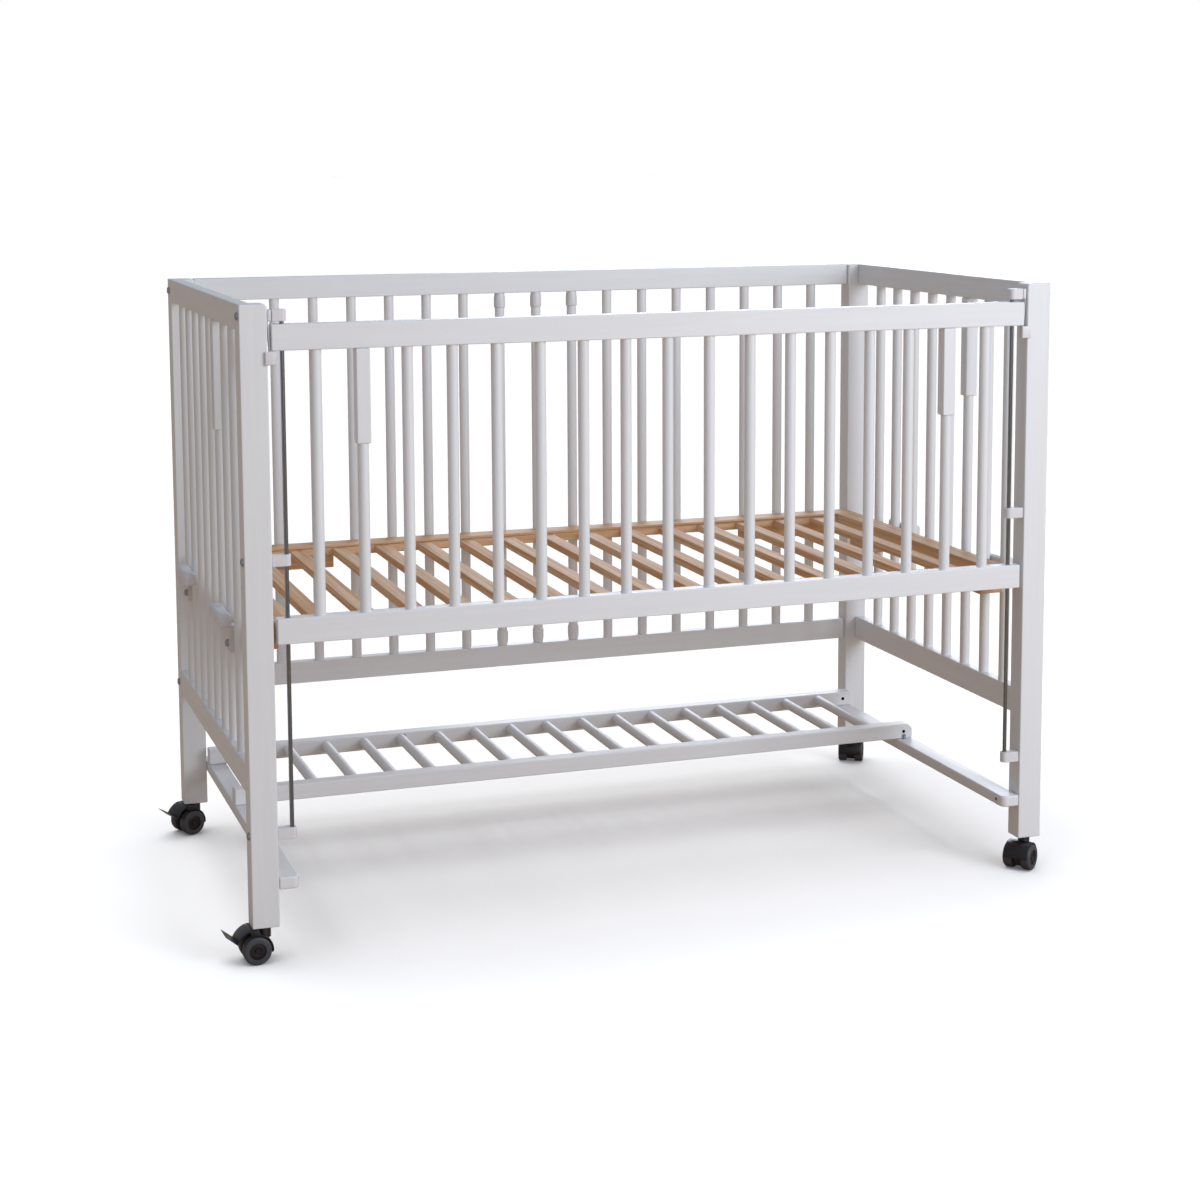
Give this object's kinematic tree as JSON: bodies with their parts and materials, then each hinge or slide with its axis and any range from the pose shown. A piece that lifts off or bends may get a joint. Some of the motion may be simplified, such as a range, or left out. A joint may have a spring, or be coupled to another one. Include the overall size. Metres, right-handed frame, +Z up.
{
  "type": "baby crib",
  "caption": "White wooden baby crib on casters with a drop side on guide rods, round bars all round, a slatted pine base and a rung shelf below.",
  "frame": {"origin": "on the floor, under the middle of the overall box", "axes": "+X along the crib, from its left end to its right end as seen from the drop side; +Y from the drop side to the back panel; +Z up"},
  "size_m": [1.2972, 0.7066, 0.918],
  "materials": {
    "white_lacquered_beech": "satin white lacquer over solid wood",
    "bare_pine": "sanded bare pine",
    "zinc_plated_steel": "bright zinc plate",
    "white_nylon": "satin moulded plastic",
    "black_nylon": "satin black moulded plastic",
    "dark_grey_wheel_plastic": "matt moulded plastic"
  },
  "bodies": {
    "frame": {"back_bolt_low_left": "zinc_plated_steel", "back_bolt_low_right": "zinc_plated_steel", "back_bolt_top_left": "zinc_plated_steel", "back_bolt_top_right": "zinc_plated_steel", "back_panel": "white_lacquered_beech", "bottom_bracket_left": "white_nylon", "bottom_bracket_right": "white_nylon", "end_panel_left": "white_lacquered_beech", "end_panel_right": "white_lacquered_beech", "end_sleeve_left": "white_lacquered_beech", "end_sleeve_right": "white_lacquered_beech", "fitting_bolt_low_left": "zinc_plated_steel", "fitting_bolt_low_right": "zinc_plated_steel", "fitting_bolt_middle_left": "zinc_plated_steel", "fitting_bolt_middle_right": "zinc_plated_steel", "fitting_bolt_top_left": "zinc_plated_steel", "fitting_bolt_top_right": "zinc_plated_steel", "guide_rod_left": "zinc_plated_steel", "guide_rod_right": "zinc_plated_steel", "middle_clip_left": "white_nylon", "middle_clip_right": "white_nylon", "post_back_left": "white_lacquered_beech", "post_back_right": "white_lacquered_beech", "post_front_left": "white_lacquered_beech", "post_front_right": "white_lacquered_beech", "shelf": "white_lacquered_beech", "stretcher_left": "white_lacquered_beech", "stretcher_right": "white_lacquered_beech", "top_bracket_left": "white_nylon", "top_bracket_right": "white_nylon"},
    "drop_side": {"drop_side": "white_lacquered_beech", "drop_sleeve_left": "white_lacquered_beech", "drop_sleeve_right": "white_lacquered_beech"},
    "slatted_base": {"slatted_base": "bare_pine", "clamp_bolt_back_left": "zinc_plated_steel", "clamp_bolt_back_right": "zinc_plated_steel", "clamp_bolt_front_left": "zinc_plated_steel", "clamp_bolt_front_right": "zinc_plated_steel", "clamp_jaw_back_left": "white_nylon", "clamp_jaw_back_right": "white_nylon", "clamp_jaw_front_left": "white_nylon", "clamp_jaw_front_right": "white_nylon"},
    "latch_left": {"latch_left": "white_nylon"},
    "latch_right": {"latch_right": "white_nylon"},
    "slip_rung_1": {"slip_rung_1": "white_lacquered_beech", "slip_spring_1": "zinc_plated_steel"},
    "slip_rung_2": {"slip_rung_2": "white_lacquered_beech", "slip_spring_2": "zinc_plated_steel"},
    "slip_rung_3": {"slip_rung_3": "white_lacquered_beech", "slip_spring_3": "zinc_plated_steel"},
    "caster_front_left": {"caster_housing_front_left": "black_nylon"},
    "wheels_front_left": {"caster_wheels_front_left": "dark_grey_wheel_plastic"},
    "caster_front_right": {"caster_housing_front_right": "black_nylon"},
    "wheels_front_right": {"caster_wheels_front_right": "dark_grey_wheel_plastic"},
    "caster_back_left": {"caster_housing_back_left": "black_nylon"},
    "wheels_back_left": {"caster_wheels_back_left": "dark_grey_wheel_plastic"},
    "caster_back_right": {"caster_housing_back_right": "black_nylon"},
    "wheels_back_right": {"caster_wheels_back_right": "dark_grey_wheel_plastic"},
    "brake_front_left": {"brake_lever_front_left": "black_nylon"},
    "brake_back_left": {"brake_lever_back_left": "black_nylon"}
  },
  "joints": [
    {"name": "side_drop", "type": "slide", "parent": "frame", "child": "drop_side", "axis": [0, 0, -1], "range_m": [0, 0.258]},
    {"name": "base_height", "type": "slide", "parent": "frame", "child": "slatted_base", "axis": [0, 0, 1], "range_m": [-0.13, 0.15]},
    {"name": "slip_rung_lift_1", "type": "slide", "parent": "frame", "child": "slip_rung_1", "axis": [0, 0, 1], "range_m": [0, 0.0085], "stiffness_N_per_m": 400, "springref_m": -0.01, "deforming": ["slip_spring_1"]},
    {"name": "slip_rung_lift_2", "type": "slide", "parent": "frame", "child": "slip_rung_2", "axis": [0, 0, 1], "range_m": [0, 0.0085], "stiffness_N_per_m": 400, "springref_m": -0.01, "deforming": ["slip_spring_2"]},
    {"name": "slip_rung_lift_3", "type": "slide", "parent": "frame", "child": "slip_rung_3", "axis": [0, 0, 1], "range_m": [0, 0.0085], "stiffness_N_per_m": 400, "springref_m": -0.01, "deforming": ["slip_spring_3"]},
    {"name": "latch_flex_left", "type": "hinge", "parent": "frame", "child": "latch_left", "pos_m": [-0.56641, -0.32, 0.902], "axis": [0, 1, 0], "range_deg": [0, 2.4], "stiffness_Nm_per_rad": 0.6, "springref_deg": -2.86},
    {"name": "latch_flex_right", "type": "hinge", "parent": "frame", "child": "latch_right", "pos_m": [0.58939, -0.32, 0.902], "axis": [0, -1, 0], "range_deg": [0, 2.4], "stiffness_Nm_per_rad": 0.6, "springref_deg": -2.86},
    {"name": "swivel_front_left", "type": "hinge", "parent": "frame", "child": "caster_front_left", "pos_m": [-0.58926, -0.3135, 0.05], "axis": [0, 0, 1], "continuous": true},
    {"name": "roll_front_left", "type": "hinge", "parent": "caster_front_left", "child": "wheels_front_left", "pos_m": [-0.60325, -0.31399, 0.02], "axis": [0.0349, -0.9994, 0], "continuous": true},
    {"name": "brake_front_left", "type": "hinge", "parent": "caster_front_left", "child": "brake_front_left", "pos_m": [-0.61304, -0.31433, 0.04846], "axis": [0.0349, -0.9994, 0], "range_deg": [0, 10]},
    {"name": "swivel_front_right", "type": "hinge", "parent": "frame", "child": "caster_front_right", "pos_m": [0.61224, -0.3135, 0.05], "axis": [0, 0, 1], "continuous": true},
    {"name": "roll_front_right", "type": "hinge", "parent": "caster_front_right", "child": "wheels_front_right", "pos_m": [0.60121, -0.32212, 0.02], "axis": [0.6157, -0.788, 0], "continuous": true},
    {"name": "swivel_back_left", "type": "hinge", "parent": "frame", "child": "caster_back_left", "pos_m": [-0.58926, 0.3135, 0.05], "axis": [0, 0, 1], "continuous": true},
    {"name": "roll_back_left", "type": "hinge", "parent": "caster_back_left", "child": "wheels_back_left", "pos_m": [-0.60224, 0.30826, 0.02], "axis": [0.3746, -0.9272, 0], "continuous": true},
    {"name": "brake_back_left", "type": "hinge", "parent": "caster_back_left", "child": "brake_back_left", "pos_m": [-0.61133, 0.30458, 0.04846], "axis": [0.3746, -0.9272, 0], "range_deg": [0, 10]},
    {"name": "swivel_back_right", "type": "hinge", "parent": "frame", "child": "caster_back_right", "pos_m": [0.61224, 0.3135, 0.05], "axis": [0, 0, 1], "continuous": true},
    {"name": "roll_back_right", "type": "hinge", "parent": "caster_back_right", "child": "wheels_back_right", "pos_m": [0.61924, 0.32562, 0.02], "axis": [-0.866, 0.5, 0], "continuous": true}
  ]
}
